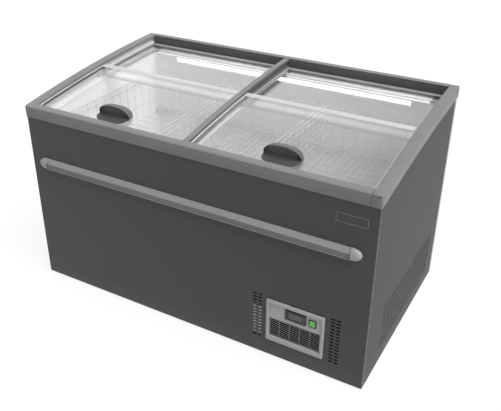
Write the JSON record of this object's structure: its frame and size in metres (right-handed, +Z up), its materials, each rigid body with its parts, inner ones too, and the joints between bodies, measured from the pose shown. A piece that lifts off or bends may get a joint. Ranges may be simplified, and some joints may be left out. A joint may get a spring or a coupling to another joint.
{
  "type": "chest freezer",
  "caption": "Low island chest freezer with a curved top of sliding glass lids, wire baskets, bumper bar, front controls and a louvred machine bay.",
  "frame": {"origin": "middle of the outline on the floor, under the rollers", "axes": "+X along the front, to the right as seen from the front; +Y from the front to the back; +Z up"},
  "size_m": [1.461, 0.857, 0.8695],
  "materials": {
    "front_steel": "satin",
    "side_steel": "satin",
    "galvanised": "satin",
    "foam": "matte",
    "liner_white": "satin",
    "copper": "satin",
    "ledge_plastic": "satin",
    "rim_plastic": "satin",
    "lid_glass": "polished",
    "lid_trim_white": "satin",
    "lid_trim_grey": "satin",
    "handle_plastic": "matte",
    "lamp_aluminium": "satin",
    "lamp_diffuser": "satin",
    "basket_wire": "gloss",
    "bumper_grey": "satin",
    "bumper_cap": "satin",
    "nameplate_dark": "gloss",
    "bezel_grey": "satin",
    "plate_grey": "satin",
    "black_plastic": "matte",
    "window_tint": "gloss",
    "rocker_green": "gloss",
    "compressor_black": "satin",
    "rubber": "matte",
    "wheel_nylon": "satin"
  },
  "bodies": {
    "cabinet": {"base_tray": "galvanised", "front_panel": "front_steel", "left_side_panel": "side_steel", "right_side_panel": "side_steel", "back_panel": "galvanised", "bay_cover": "galvanised", "foam_insulation": "foam", "inner_liner": "liner_white", "evaporator_tube": "copper", "top_ledge": "ledge_plastic", "rim_front": "rim_plastic", "rim_back": "rim_plastic", "rim_left": "rim_plastic", "rim_right": "rim_plastic", "centre_divider": "rim_plastic", "led_housing": "lamp_aluminium", "led_diffuser": "lamp_diffuser", "bumper_bar": "bumper_grey", "bumper_caps": "bumper_cap", "nameplate": "nameplate_dark", "control_bezel": "bezel_grey", "control_plate": "plate_grey", "thermostat_body": "black_plastic", "thermostat_window": "window_tint", "rocker_frame": "black_plastic", "louvre_grille": "black_plastic", "compressor_shell": "compressor_black", "compressor_plate": "galvanised", "compressor_mounts": "rubber", "terminal_box": "black_plastic", "condenser_coil": "lamp_aluminium", "fan_shroud": "galvanised", "fan_motor": "black_plastic", "filter_drier": "copper", "copper_pipes": "copper", "cable_gland": "black_plastic", "roller_brackets": "galvanised", "roller_axles": "galvanised"},
    "front_lid_left": {"front_glass_left": "lid_glass", "front_lid_frame_left": "lid_trim_white", "lid_handle_left": "handle_plastic"},
    "front_lid_right": {"front_glass_right": "lid_glass", "front_lid_frame_right": "lid_trim_white", "lid_handle_right": "handle_plastic"},
    "rear_lid_left": {"rear_glass_left": "lid_glass", "rear_lid_frame_left": "lid_trim_grey"},
    "rear_lid_right": {"rear_glass_right": "lid_glass", "rear_lid_frame_right": "lid_trim_grey"},
    "basket_left": {"basket_left": "basket_wire"},
    "basket_middle": {"basket_middle": "basket_wire"},
    "basket_right": {"basket_right": "basket_wire"},
    "power_rocker": {"power_rocker": "rocker_green"},
    "button_set": {"button_set": "plate_grey"},
    "button_up": {"button_up": "plate_grey"},
    "button_down": {"button_down": "plate_grey"},
    "fan": {"fan_blade": "lamp_aluminium"},
    "roller_1": {"roller_wheel_1": "wheel_nylon"},
    "roller_2": {"roller_wheel_2": "wheel_nylon"},
    "roller_3": {"roller_wheel_3": "wheel_nylon"},
    "roller_4": {"roller_wheel_4": "wheel_nylon"}
  },
  "joints": [
    {"name": "front_lid_left_slide", "type": "hinge", "parent": "cabinet", "child": "front_lid_left", "pos_m": [0, 0.6205, -5.52759], "axis": [-1, 0, 0], "range_deg": [0, 3.15]},
    {"name": "rear_lid_left_slide", "type": "hinge", "parent": "cabinet", "child": "rear_lid_left", "pos_m": [0, 0.6205, -5.52759], "axis": [-1, 0, 0], "range_deg": [-3.3, 0]},
    {"name": "front_lid_right_slide", "type": "hinge", "parent": "cabinet", "child": "front_lid_right", "pos_m": [0, 0.6205, -5.52759], "axis": [-1, 0, 0], "range_deg": [0, 3.15]},
    {"name": "rear_lid_right_slide", "type": "hinge", "parent": "cabinet", "child": "rear_lid_right", "pos_m": [0, 0.6205, -5.52759], "axis": [-1, 0, 0], "range_deg": [-3.3, 0]},
    {"name": "basket_left_lift", "type": "slide", "parent": "cabinet", "child": "basket_left", "axis": [0, 0, 1], "range_m": [0, 0.03]},
    {"name": "basket_middle_lift", "type": "slide", "parent": "cabinet", "child": "basket_middle", "axis": [0, 0, 1], "range_m": [0, 0.012]},
    {"name": "basket_right_lift", "type": "slide", "parent": "cabinet", "child": "basket_right", "axis": [0, 0, 1], "range_m": [0, 0.03]},
    {"name": "power_rocker_tip", "type": "hinge", "parent": "cabinet", "child": "power_rocker", "pos_m": [0.5295, -0.4095, 0.224], "axis": [1, 0, 0], "range_deg": [0, 20]},
    {"name": "button_set_press", "type": "slide", "parent": "cabinet", "child": "button_set", "axis": [0, 1, 0], "range_m": [0, 0.0005], "stiffness_N_per_m": 400},
    {"name": "button_up_press", "type": "slide", "parent": "cabinet", "child": "button_up", "axis": [0, 1, 0], "range_m": [0, 0.0005], "stiffness_N_per_m": 400},
    {"name": "button_down_press", "type": "slide", "parent": "cabinet", "child": "button_down", "axis": [0, 1, 0], "range_m": [0, 0.0005], "stiffness_N_per_m": 400},
    {"name": "fan_spin", "type": "hinge", "parent": "cabinet", "child": "fan", "pos_m": [0.4625, -0.2575, 0.168], "axis": [0, 1, 0], "continuous": true},
    {"name": "roller_1_roll", "type": "hinge", "parent": "cabinet", "child": "roller_1", "pos_m": [-0.6325, -0.3225, 0.027], "axis": [1, 0, 0], "continuous": true},
    {"name": "roller_2_roll", "type": "hinge", "parent": "cabinet", "child": "roller_2", "pos_m": [0.6325, -0.3225, 0.027], "axis": [1, 0, 0], "continuous": true},
    {"name": "roller_3_roll", "type": "hinge", "parent": "cabinet", "child": "roller_3", "pos_m": [-0.6325, 0.3355, 0.027], "axis": [1, 0, 0], "continuous": true},
    {"name": "roller_4_roll", "type": "hinge", "parent": "cabinet", "child": "roller_4", "pos_m": [0.6325, 0.3355, 0.027], "axis": [1, 0, 0], "continuous": true}
  ]
}
